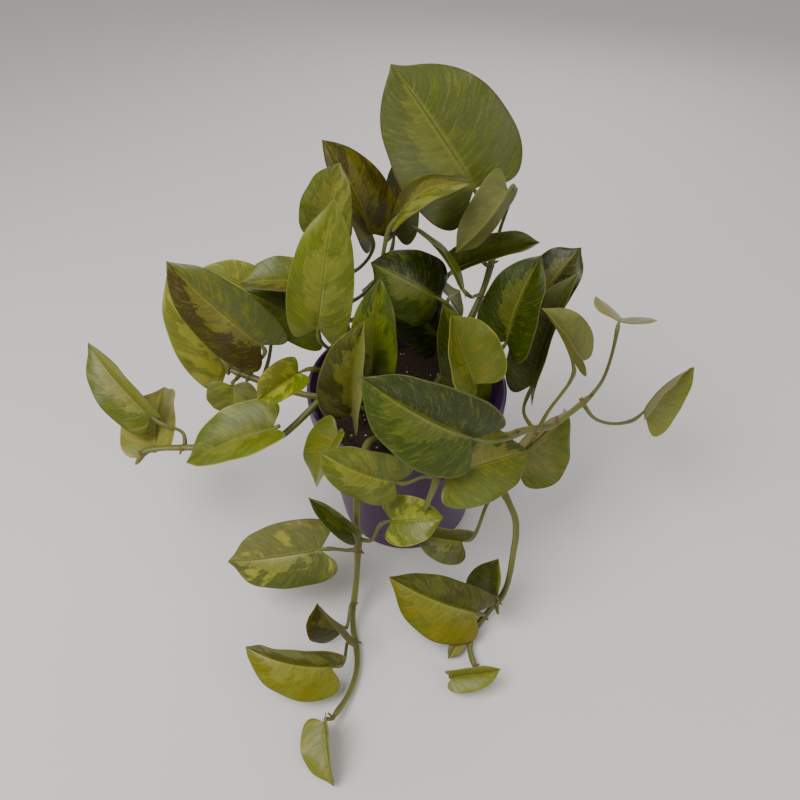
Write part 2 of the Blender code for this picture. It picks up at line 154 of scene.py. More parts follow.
# %% The node shop
class Shop:
    """Makes the nodes of one material."""

    def __init__(self, name):
        self.material = bpy.data.materials.new(name)
        self.material.use_nodes = True
        self.tree = self.material.node_tree
        self.shader = self.tree.nodes["Principled BSDF"]

    def put(self, socket, value):
        """Link a Socket to an input, or set a plain value on it."""
        if isinstance(value, Socket):
            self.tree.links.new(value.link, socket)
        else:
            socket.default_value = value

    def node(self, kind, settings=None, inputs=(), output=0):
        """Any node: its settings first, then its inputs by order or by name."""
        made = self.tree.nodes.new(kind)
        for name, value in (settings or {}).items():
            setattr(made, name, value)
        pairs = inputs.items() if isinstance(inputs, dict) else enumerate(inputs)
        for key, value in pairs:
            self.put(made.inputs[key], value)
        return Socket(self, made.outputs[output])

    def step(self, value, start, end):
        """0 below start and 1 above end, smooth between them."""
        return self.node(
            "ShaderNodeMapRange", {"interpolation_type": "SMOOTHSTEP"},
            {"Value": value, "From Min": start, "From Max": end},
        )

    def mix(self, mask, first, second):
        """A colour that goes from first to second with the mask."""
        made = self.tree.nodes.new("ShaderNodeMix")
        made.data_type = "RGBA"
        sockets = [entry for entry in made.inputs if entry.type == "RGBA"]
        self.put(made.inputs[0], mask)
        self.put(sockets[0], first)
        self.put(sockets[1], second)
        out = [entry for entry in made.outputs if entry.type == "RGBA"][0]
        return Socket(self, out)

    def attribute(self, name):
        """A number that was stored on the mesh's points."""
        return self.node("ShaderNodeAttribute", {"attribute_name": name}, output="Fac")

    def place(self):
        """The place on the object, in metres."""
        return self.node("ShaderNodeTexCoord", output="Object")

    def vector(self, x, y, z):
        return self.node("ShaderNodeCombineXYZ", {}, [x, y, z])

    def noise(self, vector, scale, detail=2.0, roughness=0.5):
        return self.node(
            "ShaderNodeTexNoise", {},
            {"Vector": vector, "Scale": scale, "Detail": detail, "Roughness": roughness},
        )

    def finish(self, colour, roughness, height=None, depth=0.2 * MM, gloss=0.5):
        """Plug the colour, roughness and relief into the shader, and set its gloss."""
        self.put(self.shader.inputs["Base Color"], colour)
        self.put(self.shader.inputs["Roughness"], roughness)
        self.shader.inputs["Specular IOR Level"].default_value = gloss
        if height is not None:
            bump = self.node(
                "ShaderNodeBump", {}, {"Strength": 1.0, "Distance": depth, "Height": height},
            )
            self.put(self.shader.inputs["Normal"], bump)
        return self.material


def tint(red, green, blue):
    """A colour given as a painter's 0 to 255 values, as the linear light Blender needs."""
    shares = [value / 255.0 for value in (red, green, blue)]
    linear = [s / 12.92 if s < 0.04045 else ((s + 0.055) / 1.055) ** 2.4 for s in shares]
    return (*linear, 1.0)


print("material shop is open")

# %% [markdown]
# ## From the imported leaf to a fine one
# A packed leaf is a coarse closed skin: five rings of eight points up the stalk, ten rings
# over the blade and one point at each end. Its shape and place are right, but its faces are
# large. The rings can be found again from how the points are joined, and then a fine blade
# can be stretched over them. Reading the rings keeps every leaf exactly where it belongs,
# which copying fifty sets of measurements into this script could not promise.

# %% Spread over a skin
SAME_PLACE = 1e-6


def neighbours(vert):
    """The points that one point is joined to."""
    return [edge.other_vert(vert) for edge in vert.link_edges]


def spread_from(vert):
    """Sets of points, by how many edges away from one point they are."""
    levels = [[vert]]
    seen = {vert}
    while levels[-1]:
        after = []
        for known in levels[-1]:
            for other in neighbours(known):
                if other not in seen:
                    seen.add(other)
                    after.append(other)
        levels.append(after)
    return levels[:-1]


def girth(points):
    """Greatest distance between two of the points."""
    return max((a.co - b.co).length for a in points for b in points)

cube = bmesh.new()
bmesh.ops.create_cube(cube, size=1.0)
cube.verts.ensure_lookup_table()
print("from one corner, a cube has", len(spread_from(cube.verts[0])), "levels")
cube.free()

# %% [markdown]
# ## Rings that line up
# The points of a level come in no special order. To draw smooth lines up the leaf, the rings
# have to start at the same column and run the same way round. The nearest points of two rings
# could be paired, but on a tightly folded leaf they lie on the wrong half. The joins between
# two rings don't have that fault, so each ring is turned until most of its joins run straight.

# %% Put rings in order
def walk_round(level):
    """The points of one ring, in order round it."""
    members = set(level)
    ring = [level[0]]
    while len(ring) < len(level):
        ring.append(next(v for v in neighbours(ring[-1]) if v in members and v not in ring))
    return ring


def lined_up(row, ring):
    """The next ring, turned so that as many of its points as possible join this row's."""
    best = None
    for walk in (ring, ring[::-1]):
        for turn in range(len(walk)):
            turned = walk[turn:] + walk[:turn]
            joined = 0
            for index, vert in enumerate(turned):
                near = neighbours(vert)
                joined += (row[index] in near) + (row[index - 1] in near)
            if best is None or joined > best[0]:
                best = (joined, turned)
    return best[1]


def in_order(levels):
    """The rings with their points in order, so that the columns run straight up the skin."""
    best = None
    for start in (walk_round(levels[0]), walk_round(levels[0])[::-1]):
        rows = [start]
        length = 0.0
        for level in levels[1:]:
            rows.append(lined_up(rows[-1], walk_round(level)))
            length += sum((low.co - high.co).length for low, high in zip(*rows[-2:]))
        if best is None or length < best[0]:
            best = (length, rows)
    return best[1]


print("rings can be walked round and lined up")

# %% [markdown]
# ## Reading a whole skin
# A leaf or vine starts at one end point and stops at the other. Both ends look alike to the
# computer, so the thin side of a leaf is taken for its stalk, and the end of a vine that is
# nearer the middle of the pot is taken for its root.

# %% Read a packed skin
STALK_RINGS = 5
JOINS_BESIDE_END = 5


def rings_of(node):
    """The first end point, the rings of points, and the last end point of a leaf or vine."""
    bm = bmesh.new()
    bm.from_mesh(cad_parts[node].data)
    bmesh.ops.remove_doubles(bm, verts=bm.verts, dist=SAME_PLACE)
    ends = [
        vert for vert in bm.verts
        if all(len(near.link_edges) == JOINS_BESIDE_END for near in neighbours(vert))
    ]
    if len(ends) != 2:
        raise ValueError(f"{node} has {len(ends)} ends")
    first, last = ends
    levels = spread_from(first)
    if node.startswith("leaf"):
        backwards = girth(levels[3]) > girth(levels[-4])
    else:
        backwards = first.co.xy.length > last.co.xy.length
    if backwards:
        first, last = last, first
        levels = spread_from(first)
    rows = in_order(levels[1:-1])
    places = [[vert.co.copy() for vert in row] for row in rows]
    result = (first.co.copy(), places, last.co.copy())
    bm.free()
    return result


rows = rings_of("leaf_01")[1]
print("leaf_01 has", len(rows), "rings of", len(rows[0]), "points")

# %% [markdown]
# ## Curves through a few points
# The fine skin needs places between the rings. Straight lines between them would show as
# facets. A Hermite curve passes through every known point and leaves it in the direction of
# the points on its two sides, which is how a bent strip of wood or a growing leaf runs.

# %% Smooth curves
def through(knots, points, place):
    """The place on a smooth curve that passes each of the points at its knot."""
    last = len(knots) - 1
    index = 0
    while index < last - 1 and place > knots[index + 1]:
        index += 1

    def slope(at):
        low = max(at - 1, 0)
        high = min(at + 1, last)
        return (points[high] - points[low]) / (knots[high] - knots[low])

    span = knots[index + 1] - knots[index]
    t = (place - knots[index]) / span
    return (
        points[index] * (2 * t ** 3 - 3 * t ** 2 + 1)
        + slope(index) * (span * (t ** 3 - 2 * t ** 2 + t))
        + points[index + 1] * (3 * t ** 2 - 2 * t ** 3)
        + slope(index + 1) * (span * (t ** 3 - t ** 2))
    )


def walked(points):
    """Distance along a row of points, at each of them."""
    total = [0.0]
    for start, end in zip(points, points[1:]):
        total.append(total[-1] + (end - start).length)
    return total


def centre_of(points):
    return sum(points, Vector()) / len(points)


def square_to(side, way):
    """The part of side that is square to way, one unit long."""
    return (side - way * side.dot(way)).normalized()


print("a curve passes its points:", through([0, 1, 2], [0.0, 1.0, 4.0], 1.0))

# %% [markdown]
# ## Drawing a stem
# Stems and leaf stalks are round bars that bend and taper. A curve object with a bevel could
# make them, but it can't swell at the joints. Here a circle is made once, and then extruded
# from place to place, turned to face along the path and scaled to the radius there.

# %% A round bar along a path
STRIPES = 3
TOP_OF_CIRCLE = 0.9


def ways_along(places):
    """The direction of a path at each of its places."""
    ways = []
    for index in range(len(places)):
        before = places[max(index - 1, 0)]
        after = places[min(index + 1, len(places) - 1)]
        ways.append((after - before).normalized())
    return ways


def first_ring(bm, sides, sink):
    """A circle, with its stripes marked. Its top can sink, to form a channel."""
    ring = bmesh.ops.create_circle(bm, cap_ends=False, radius=1.0, segments=sides)["verts"]
    stripe = bm.verts.layers.float.get("stripe")
    for vert in ring:
        if vert.co.y > TOP_OF_CIRCLE:
            vert.co.y *= 1.0 - sink
        if stripe is not None:
            vert[stripe] = math.cos(STRIPES * math.atan2(vert.co.y, vert.co.x))
    return ring


def bar(bm, places, radii, sides, face, sink=0.0, material=0, marks=None):
    """Extrude a circle along places. Marks are numbers to store at each place, by name."""
    ring = first_ring(bm, sides, sink)
    edges = list(dict.fromkeys(edge for vert in ring for edge in vert.link_edges))
    first_edges = edges
    side = face
    stance = Matrix.Identity(4)
    for index, (place, way, radius) in enumerate(zip(places, ways_along(places), radii)):
        side = square_to(side, way)
        turned = Matrix((side.cross(way), side, way)).transposed()
        spot = Matrix.Translation(place) @ turned.to_4x4() @ Matrix.Scale(radius, 4)
        if index:
            grown = bmesh.ops.extrude_edge_only(bm, edges=edges)["geom"]
            ring = [part for part in grown if isinstance(part, bmesh.types.BMVert)]
            fresh = set(ring)
            edges = [
                part for part in grown
                if isinstance(part, bmesh.types.BMEdge) and set(part.verts) <= fresh
            ]
            for part in grown:
                if isinstance(part, bmesh.types.BMFace):
                    part.material_index = material
        bmesh.ops.transform(bm, matrix=spot @ stance.inverted(), verts=ring)
        stance = spot
        for name, values in (marks or {}).items():
            layer = bm.verts.layers.float[name]
            for vert in ring:
                vert[layer] = values[index]
    for loop in (first_edges, edges):
        for cap in bmesh.ops.contextual_create(bm, geom=loop)["faces"]:
            cap.material_index = material


print("bars can be drawn")

# %% [markdown]
# ## Handing a piece over
# Each finished piece is hung on the body that it rides on, hides the imported pieces that it
# stands for, and takes its materials. The plant doesn't move, so all of it rides on the one root
# body. The leaves that lie on the table are given thickness downwards, so any point that would
# go below the table is lifted to it.

# %% Put a piece in the scene
def put_in_scene(name, bm, materials, replaced):
    """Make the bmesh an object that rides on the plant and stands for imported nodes."""
    for vert in bm.verts:
        vert.co.z = max(vert.co.z, 0.0)
    bmesh.ops.recalc_face_normals(bm, faces=bm.faces)
    mesh = bpy.data.meshes.new(name)
    bm.to_mesh(mesh)
    bm.free()
    mesh.shade_smooth()
    for material in materials:
        mesh.materials.append(material)
    thing = bpy.data.objects.new(name, mesh)
    bpy.context.scene.collection.objects.link(thing)
    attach(thing, "root")
    if replaced:
        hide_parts(*replaced)
    return thing


def refined(thing, levels):
    """Round a piece off with subdivision."""
    modifier = thing.modifiers.new("rounding", "SUBSURF")
    modifier.levels = levels
    modifier.render_levels = levels


print("pieces can be handed over")

# %% [markdown]
# ## Where the stems run
# The eight vines are read in the same way as the leaves. Each one is a chain of ring centres
# with a thickness at each. The leaves will ask for the nearest point of a vine, because a
# stalk has to come out of the stem and not start beside it.

# %% Read the vines
STEM_CHECKS = 200


class Stem:
    """The line that one packed vine follows, and its thickness along it."""

    def __init__(self, node):
        self.node = node
        first, rings, last = rings_of(node)
        self.places = [first] + [centre_of(ring) for ring in rings] + [last]
        sizes = [(ring[0] - centre_of(ring)).length for ring in rings]
        self.radii = [sizes[0]] + sizes + [sizes[-1]]
        self.knots = walked(self.places)
        self.length = self.knots[-1]
        self.joints = []

    def at(self, distance):
        return through(self.knots, self.places, distance)

    def thickness(self, distance):
        return through(self.knots, self.radii, distance)

    def nearest(self, place):
        """How far along the stem its nearest point to a place is."""
        steps = [self.length * index / STEM_CHECKS for index in range(STEM_CHECKS + 1)]
        return min(steps, key=lambda distance: (self.at(distance) - place).length)


stems = {name: Stem(name) for name in vine_names}
for stem in stems.values():
    print(stem.node, "is", round(stem.length * 1000), "mm long")

# %% [markdown]
# ## The shape of a leaf
# A pothos leaf is a heart with a drawn-out tip. Its midrib is a groove above and a rib below.
# Side veins leave the midrib and bend towards the tip, and the blade swells a little between
# them. The margin is thin and slightly wavy. A flat grid gives the blade its rows and
# columns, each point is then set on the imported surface, and solidify gives the thickness.

# %% Leaf dimensions
BLADE_THICKNESS = 0.45 * MM
MIDRIB_DEPTH = 0.40 * MM
MIDRIB_WIDTH = 0.90 * MM
VEIN_PAIRS = 8.0
VEIN_SWEEP = 0.24
VEIN_BEND = 1.3
VEIN_STAGGER = 0.35
VEIN_SWELL = 0.28 * MM
WAVE_HEIGHT = 1.5 * MM
SLOW_WAVE = 9.0
FAST_WAVE = 21.0
USUAL_HALF_WIDTH = 30.0 * MM
BASE_FADE = 0.06
TIP_FADE = 0.10
SHOULDER_FULLNESS = 0.20
SHOULDER_PLACE = 0.80
SHOULDER_REACH = 0.15
ROWS_PER_RING = 3
ACROSS = (0.0, 0.04, 0.11, 0.24, 0.40, 0.57, 0.74, 0.88, 0.965, 1.0)
columns = [-value for value in reversed(ACROSS[1:])] + list(ACROSS)
print(len(columns), "columns across a blade")

# %% [markdown]
# ## Following one packed leaf
# Each real leaf is bent, folded and turned in its own way. A flat heart could be bent to
# match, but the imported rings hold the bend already. So five curves run from the stalk to the
# tip: the midrib, two quarter lines and two margins. Any place between them is worked out from
# those curves. The veins and waves are a small lift that is added on top.

# %% One leaf's own surface
RING_POINTS = 8
RIGHT_EDGE, RIGHT_QUARTER, MIDRIB, LEFT_QUARTER, LEFT_EDGE = range(5)
UNDER_MIDRIB = 6
STEM_BITE = 0.45


class Blade:
    """The surface of one packed leaf: along runs 0 to 1 from stalk to tip, across -1 to 1."""

    def __init__(self, node):
        self.node = node
        self.foot, rings, self.tip = rings_of(node)
        self.joint = self.join_stem()
        start = self.channel_column(rings) - MIDRIB
        rings = [
            [ring[(start + index) % RING_POINTS] for index in range(RING_POINTS)]
            for ring in rings
        ]
        self.stalk = rings[:STALK_RINGS]
        self.rings = rings[STALK_RINGS:]
        self.lines = [
            [ring[column] for ring in self.rings] + [self.tip] for column in range(RING_POINTS)
        ]
        total = walked(self.lines[MIDRIB])
        self.length = total[-1]
        self.knots = [value / self.length for value in total]
        self.phase = 10.0 * noise.noise(self.tip * 90.0)
        self.half_width = 0.5 * max(
            (ring[RIGHT_EDGE] - ring[LEFT_EDGE]).length for ring in self.rings
        )

    def join_stem(self):
        """A place inside the stem that this leaf grows from. The stem notes it too."""
        def gap(stem):
            return (stem.at(stem.nearest(self.foot)) - self.foot).length

        stem = min(stems.values(), key=gap)
        distance = stem.nearest(self.foot)
        stem.joints.append((distance, self.foot))
        return stem.at(distance).lerp(self.foot, STEM_BITE)

    def channel_column(self, rings):
        """Which column of points lies in the channel of the stalk: the one nearest its middle."""
        score = [0.0] * RING_POINTS
        for ring in rings[1:STALK_RINGS - 1]:
            middle = centre_of(ring)
            for column, place in enumerate(ring):
                score[column] += (place - middle).length
        return score.index(min(score))

    def at(self, along, across):
        """A place on the upper face."""
        quarter, edge = RIGHT_QUARTER, RIGHT_EDGE
        if across > 0:
            quarter, edge = LEFT_QUARTER, LEFT_EDGE
        spine, half_way, margin = (
            through(self.knots, self.lines[column], along) for column in (MIDRIB, quarter, edge)
        )
        full = math.exp(-((along - SHOULDER_PLACE) / SHOULDER_REACH) ** 2)
        t = abs(across) * (1.0 + SHOULDER_FULLNESS * full * (1.0 - along ** 8))
        return (
            spine * ((1 - t) * (1 - 2 * t)) + half_way * (4 * t * (1 - t))
            + margin * (t * (2 * t - 1))
        )

    def relief(self, along, across):
        """How far the living surface stands above the plain one."""
        t = abs(across)
        fade = min(along / BASE_FADE, 1.0) * min((1.0 - along) / TIP_FADE, 1.0)
        groove = -MIDRIB_DEPTH * math.exp(-(t * self.half_width / MIDRIB_WIDTH) ** 2)
        stagger = VEIN_STAGGER * math.copysign(1.0, across)
        vein = (along - VEIN_SWEEP * t ** VEIN_BEND) * VEIN_PAIRS + stagger
        swell = VEIN_SWELL * (abs(math.sin(math.pi * vein)) - 0.5) * min(4 * t, 1) * (1 - t ** 4)
        wave = WAVE_HEIGHT * t ** 3 * math.sin(SLOW_WAVE * along + self.phase + 2.0 * across)
        wave += 0.5 * WAVE_HEIGHT * t ** 4 * math.sin(FAST_WAVE * along + 3.0 * self.phase)
        return fade * (swell + wave * self.half_width / USUAL_HALF_WIDTH) + groove * (1.0 - along)


blades = {name: Blade(name) for name in leaf_names}
longest = max(blades.values(), key=lambda blade: blade.length)
print("longest blade:", longest.node, round(longest.length * 1000), "mm")

# %% [markdown]
# ## The stalk and the rib
# The stalk is round, with a channel along its top. It is widest where it clasps the stem and
# at the knee below the blade. Under the blade it runs on as the midrib, which thins out
# towards the tip. Two pieces could be made and joined, but one bar that goes all the way has
# no seam at the knee.

# %% Draw the stalk and rib
STALK_SIDES = 10
STALK_STEPS = 3
RIB_STEPS = 2
CHANNEL_DEPTH = 0.30
STALK_SWELLS = (1.35, 1.25, 1.0, 0.95, 1.0, 1.28)
STALK_MARKS = (0.0, 0.05, 0.3, 0.6, 0.85, 0.97)
RIB_RADIUS = 0.95 * MM
RIB_TAPER = 0.7
RIB_END = 0.15 * MM
RIB_SINK = 0.25
RIB_MOST_GROWTH = 1.2
USUAL_LENGTH = 60.0 * MM
THINNEST_BAR = 0.12 * MM


def add_stalk(bm, blade):
    """The stalk from the vine to the blade, and on as the rib under the midrib."""
    middle = blade.stalk[2]
    thick = (middle[RIGHT_EDGE] - middle[LEFT_EDGE]).length * 0.5
    places = [blade.joint] + [centre_of(ring) for ring in blade.stalk]
    radii = [thick * swell for swell in STALK_SWELLS]
    marks = list(STALK_MARKS)
    growth = min(blade.length / USUAL_LENGTH, RIB_MOST_GROWTH)
    for share, ring in zip(blade.knots[1:], blade.rings[1:-1]):
        upward = (ring[MIDRIB] - ring[UNDER_MIDRIB]).normalized()
        reach = RIB_RADIUS * (1.0 - share) ** RIB_TAPER * growth
        places.append(ring[MIDRIB] - upward * (BLADE_THICKNESS + RIB_SINK * reach))
        radii.append(max(reach, RIB_END))
        marks.append(1.0)
    knots = walked(places)
    spots = []
    for index, (low, high) in enumerate(zip(knots, knots[1:])):
        steps = STALK_STEPS if index < STALK_RINGS else RIB_STEPS
        spots += [low + (high - low) * step / steps for step in range(steps)]
    spots.append(knots[-1])
    fine_places = [through(knots, places, spot) for spot in spots]
    fine_radii = [max(through(knots, radii, spot), THINNEST_BAR) for spot in spots]
    fine_marks = [through(knots, marks, spot) for spot in spots]
    upward = blade.stalk[1][MIDRIB] - centre_of(blade.stalk[1])
    bar(
        bm, fine_places, fine_radii, STALK_SIDES, upward,
        sink=CHANNEL_DEPTH, material=1, marks={"along": fine_marks},
    )


print("a stalk is a bar of", STALK_SIDES, "sides")

# %% [markdown]
# ## Cutting and thickening a blade
# A blade is a sheet less than half a millimetre thick. A block could be carved down to it, but
# a sheet is quicker to shape: a flat grid is cut to the rows and columns, each point is set on
# the leaf's surface and lifted by the relief, and solidify gives the sheet its thickness.
# Where the tip curls tightly, solidify would throw a point too far out, so its step is held to
# the thickness.

# %% Build one leaf's mesh
CHECKED_RING = 3


def fine_rows(blade):
    """How far along the leaf each row of points lies."""
    rows = []
    for low, high in zip(blade.knots, blade.knots[1:]):
        rows += [low + (high - low) * index / ROWS_PER_RING for index in range(ROWS_PER_RING)]
    return rows + [1.0]


def face_upwards(bm, blade):
    """Turn the sheet's faces over if they look down."""
    bm.normal_update()
    ring = blade.rings[CHECKED_RING]
    nearest = min(bm.verts, key=lambda vert: (vert.co - ring[MIDRIB]).length)
    if nearest.normal.dot(ring[MIDRIB] - ring[UNDER_MIDRIB]) < 0.0:
        bmesh.ops.reverse_faces(bm, faces=bm.faces)
        bm.normal_update()


def thicken(bm, along, across, under):
    """Give the sheet its thickness, and mark the points of its underside."""
    top = set(bm.verts)
    bmesh.ops.solidify(bm, geom=bm.faces[:], thickness=BLADE_THICKNESS)
    above = {(vert[along], vert[across]): vert.co for vert in top}
    for vert in bm.verts:
        if vert not in top:
            vert[under] = 1.0
            start = above[vert[along], vert[across]]
            drop = vert.co - start
            vert.co = start + drop * min(1.0, BLADE_THICKNESS / drop.length)


def leaf_mesh(blade):
    """The blade as a thin closed shell, with its stalk and rib joined on below."""
    bm = bmesh.new()
    layers = bm.verts.layers.float
    along, across, under = (layers.new(name) for name in ("along", "across", "under"))
    rows = fine_rows(blade)
    grid = bmesh.ops.create_grid(
        bm, x_segments=len(columns) - 1, y_segments=len(rows) - 1, size=1.0,
    )["verts"]
    for vert in grid:
        column = round((vert.co.x + 1.0) / 2.0 * (len(columns) - 1))
        row = round((vert.co.y + 1.0) / 2.0 * (len(rows) - 1))
        vert[along], vert[across] = rows[row], columns[column]
        vert.co = blade.at(rows[row], columns[column])
    bmesh.ops.remove_doubles(bm, verts=bm.verts, dist=SAME_PLACE)
    face_upwards(bm, blade)
    lifts = [vert.normal * blade.relief(vert[along], vert[across]) for vert in bm.verts]
    for vert, lift in zip(list(bm.verts), lifts):
        vert.co += lift
    bm.normal_update()
    thicken(bm, along, across, under)
    add_stalk(bm, blade)
    return bm


trial = leaf_mesh(blades["leaf_01"])
print("leaf_01 has", len(trial.faces), "faces before rounding")
trial.free()

# %% [markdown]
# ## Paint for a variegated leaf
# This pothos is marbled: each half of a leaf has its own green, and patches of yellow or dark
# green run out along the side veins with crisp edges. The pattern belongs to the leaf and not
# to the space round it, so it is worked out from how far along and how far across each point
# is. Noise that is stretched along the veins gives the patches their direction.

# %% Leaf greens
INK = tint(27, 38, 3)
FOREST = tint(43, 56, 4)
PINE = tint(55, 71, 7)
BRONZE = tint(61, 53, 5)
OLIVE = tint(65, 66, 11)
MOSS = tint(81, 88, 36)
FERN = tint(85, 95, 15)
LEAFGREEN = tint(95, 106, 13)
LIME = tint(115, 119, 35)
GOLD = tint(113, 107, 8)
BUTTER = tint(170, 165, 59)
STRAW = tint(150, 138, 65)
SAGE = tint(103, 104, 52)
KHAKI = tint(124, 118, 58)
RUST = tint(89, 61, 24)

# right half, left half, patches, share of patches, margin, underside
LOOKS = {
    "leaf_01": (MOSS, MOSS, FERN, 0.26, RUST, MOSS),
    "leaf_02": (BRONZE, BRONZE, GOLD, 0.36, RUST, SAGE),
    "leaf_03": (LIME, FERN, OLIVE, 0.40, OLIVE, SAGE),
    "leaf_04": (MOSS, FOREST, OLIVE, 0.25, BRONZE, SAGE),
    "leaf_05": (LIME, OLIVE, BRONZE, 0.42, GOLD, SAGE),
    "leaf_06": (MOSS, OLIVE, SAGE, 0.35, STRAW, SAGE),
    # leaf_07 lies in shade in the middle of the plant: its INK and PINE greens are its own dark
    # green darkened further with painted shade
    "leaf_07": (INK, PINE, FERN, 0.22, GOLD, MOSS),
    "leaf_08": (FERN, MOSS, OLIVE, 0.30, SAGE, FERN),
    "leaf_09": (OLIVE, MOSS, FOREST, 0.35, KHAKI, FERN),
    "leaf_10": (FOREST, FOREST, PINE, 0.30, SAGE, MOSS),
    # leaf_11 stands behind the others: its INK greens are its dark green darkened with painted
    # shade
    "leaf_11": (INK, INK, OLIVE, 0.35, SAGE, MOSS),
    "leaf_12": (MOSS, MOSS, OLIVE, 0.22, KHAKI, SAGE),
    "leaf_13": (SAGE, SAGE, LIME, 0.35, KHAKI, KHAKI),
    "leaf_14": (SAGE, KHAKI, STRAW, 0.35, STRAW, KHAKI),
    "leaf_15": (LIME, SAGE, GOLD, 0.35, STRAW, KHAKI),
    "leaf_16": (FERN, KHAKI, GOLD, 0.32, RUST, SAGE),
    "leaf_17": (FERN, PINE, GOLD, 0.34, SAGE, MOSS),
    "leaf_18": (FOREST, PINE, FERN, 0.16, SAGE, MOSS),
    "leaf_19": (SAGE, OLIVE, LIME, 0.30, LIME, SAGE),
    "leaf_20": (PINE, PINE, LEAFGREEN, 0.40, FERN, SAGE),
    "leaf_21": (FERN, LEAFGREEN, LIME, 0.40, LIME, SAGE),
    "leaf_22": (INK, INK, FOREST, 0.30, PINE, MOSS),
    "leaf_23": (LEAFGREEN, FERN, GOLD, 0.36, BUTTER, SAGE),
    "leaf_24": (FERN, PINE, OLIVE, 0.30, SAGE, MOSS),
    "leaf_25": (MOSS, BRONZE, GOLD, 0.24, OLIVE, SAGE),
    "leaf_26": (KHAKI, LIME, BUTTER, 0.35, STRAW, KHAKI),
    "leaf_27": (LIME, LIME, BUTTER, 0.25, GOLD, KHAKI),
    "leaf_28": (FERN, OLIVE, GOLD, 0.35, GOLD, SAGE),
    "leaf_29": (PINE, FERN, OLIVE, 0.20, MOSS, MOSS),
    "leaf_30": (LIME, LEAFGREEN, BUTTER, 0.28, GOLD, SAGE),
    "leaf_31": (LIME, SAGE, MOSS, 0.40, SAGE, SAGE),
    "leaf_32": (FERN, LEAFGREEN, LIME, 0.36, BUTTER, KHAKI),
    "leaf_33": (LIME, FERN, KHAKI, 0.32, RUST, KHAKI),
    "leaf_34": (LIME, LIME, STRAW, 0.35, STRAW, KHAKI),
    "leaf_35": (LEAFGREEN, FERN, GOLD, 0.34, BUTTER, SAGE),
    "leaf_36": (FERN, FERN, LIME, 0.34, SAGE, SAGE),
    "leaf_37": (LEAFGREEN, LEAFGREEN, BUTTER, 0.24, BUTTER, SAGE),
    "leaf_38": (MOSS, PINE, FOREST, 0.40, SAGE, MOSS),
    # leaf_39's pale BUTTER patches are painted highlights on its blistered surface
    "leaf_39": (SAGE, MOSS, BUTTER, 0.20, SAGE, KHAKI),
    "leaf_40": (OLIVE, OLIVE, MOSS, 0.35, KHAKI, SAGE),
    "leaf_41": (OLIVE, GOLD, FERN, 0.35, OLIVE, KHAKI),
    "leaf_42": (LEAFGREEN, MOSS, FOREST, 0.30, SAGE, SAGE),
    "leaf_43": (SAGE, KHAKI, GOLD, 0.30, STRAW, KHAKI),
    "leaf_44": (LIME, LIME, GOLD, 0.30, STRAW, KHAKI),
    "leaf_45": (OLIVE, BRONZE, GOLD, 0.32, OLIVE, KHAKI),
    "leaf_46": (OLIVE, GOLD, LIME, 0.40, GOLD, KHAKI),
    "leaf_47": (LIME, FERN, STRAW, 0.30, STRAW, SAGE),
    "leaf_48": (FOREST, PINE, LEAFGREEN, 0.25, SAGE, PINE),
    "leaf_49": (PINE, BRONZE, LIME, 0.30, SAGE, MOSS),
    "leaf_50": (PINE, FERN, LIME, 0.30, SAGE, SAGE),
}
print(len(LOOKS), "leaves have their colours")

# %% [markdown]
# ## Where a point lies on its leaf
# Patches, veins and margin all need the same few numbers: how far a point is along its leaf,
# how far across, whether it is underneath, and how near it is to a side vein. Each finish
# could work them out for itself, but then they might disagree. One plan holds them, and its
# veins are the ones that the relief has.

# %% The plan of a leaf
VEIN_WOBBLE = 0.03
VEIN_HALF_WIDTH = 0.055


class Plan:
    """Sockets that say where a point lies on its leaf. The seed tells leaves apart."""

    def __init__(self, shop, seed):
        self.seed = seed
        self.along = shop.attribute("along")
        self.across = shop.attribute("across")
        self.under = shop.attribute("under")
        self.place = shop.place()
        self.reach = abs(self.across)
        wobble = shop.noise(self.place, 90.0) * VEIN_WOBBLE
        self.vein = self.along - self.reach ** VEIN_BEND * VEIN_SWEEP + wobble
        turn = self.vein * VEIN_PAIRS + self.across.maths("SIGN") * VEIN_STAGGER
        self.vein_line = 1.0 - shop.step(turn.maths("PINGPONG", 0.5), 0.0, VEIN_HALF_WIDTH)


print("a plan tells one leaf's", round(VEIN_PAIRS), "pairs of veins")

# %% [markdown]
# ## Marbling
# The two halves have their own greens, and soft patches lie over them. One half often has a
# paler patch beside the midrib, with a ragged edge. It could be painted by hand on a picture of
# the leaf, but fifty leaves would need fifty pictures. Noise with a different start for each
# leaf gives fifty patterns of the same kind.

# %% Marble a leaf
PATCH_LEVEL = 0.68
PATCH_SPREAD = 0.50
SOFT_PATCH = 0.45
CRISP_PATCH = 0.30
PALE_PATCH_LEVEL = 0.44
PALE_PATCH_COVER = 1.6
PALE_PATCH_MOST = 0.6
PALE_PATCH_LIGHT = 0.28


def marbled(shop, plan, look):
    """The greens of the two halves, with their patches."""
    right, left, patches, share = look[:4]
    ragged_line = plan.across + shop.noise(plan.place, 260.0) * 0.06 - 0.03
    on_left = shop.step(ragged_line, -0.02, 0.02)
    colour = shop.mix(on_left, right, left)
    stretched = shop.vector(plan.vein * 7.0 + plan.seed, plan.across * 1.7, plan.seed)
    patch = shop.noise(stretched, 1.0, 3.0, 0.55)
    edge = PATCH_LEVEL - PATCH_SPREAD * share
    colour = shop.mix(shop.step(patch, edge - 0.08, edge + 0.12) * SOFT_PATCH, colour, patches)
    colour = shop.mix(shop.step(patch, edge + 0.02, edge + 0.05) * CRISP_PATCH, colour, patches)
    heart = PALE_PATCH_LEVEL - abs(plan.along - 0.5) * 0.9 - plan.reach * 0.72
    uneven = shop.vector(plan.vein * 9.0, plan.across * 2.6, plan.seed + 5.0)
    ragged = shop.noise(uneven, 1.0, 4.0, 0.6)
    heart = shop.step(heart + ragged * 0.9 - 0.45, 0.0, 0.035) * on_left
    cover = min(PALE_PATCH_COVER * share, PALE_PATCH_MOST)
    return shop.mix(heart * cover, colour, shop.mix(PALE_PATCH_LIGHT, patches, BUTTER))


print("patches cover up to", PALE_PATCH_MOST, "of the green below them")
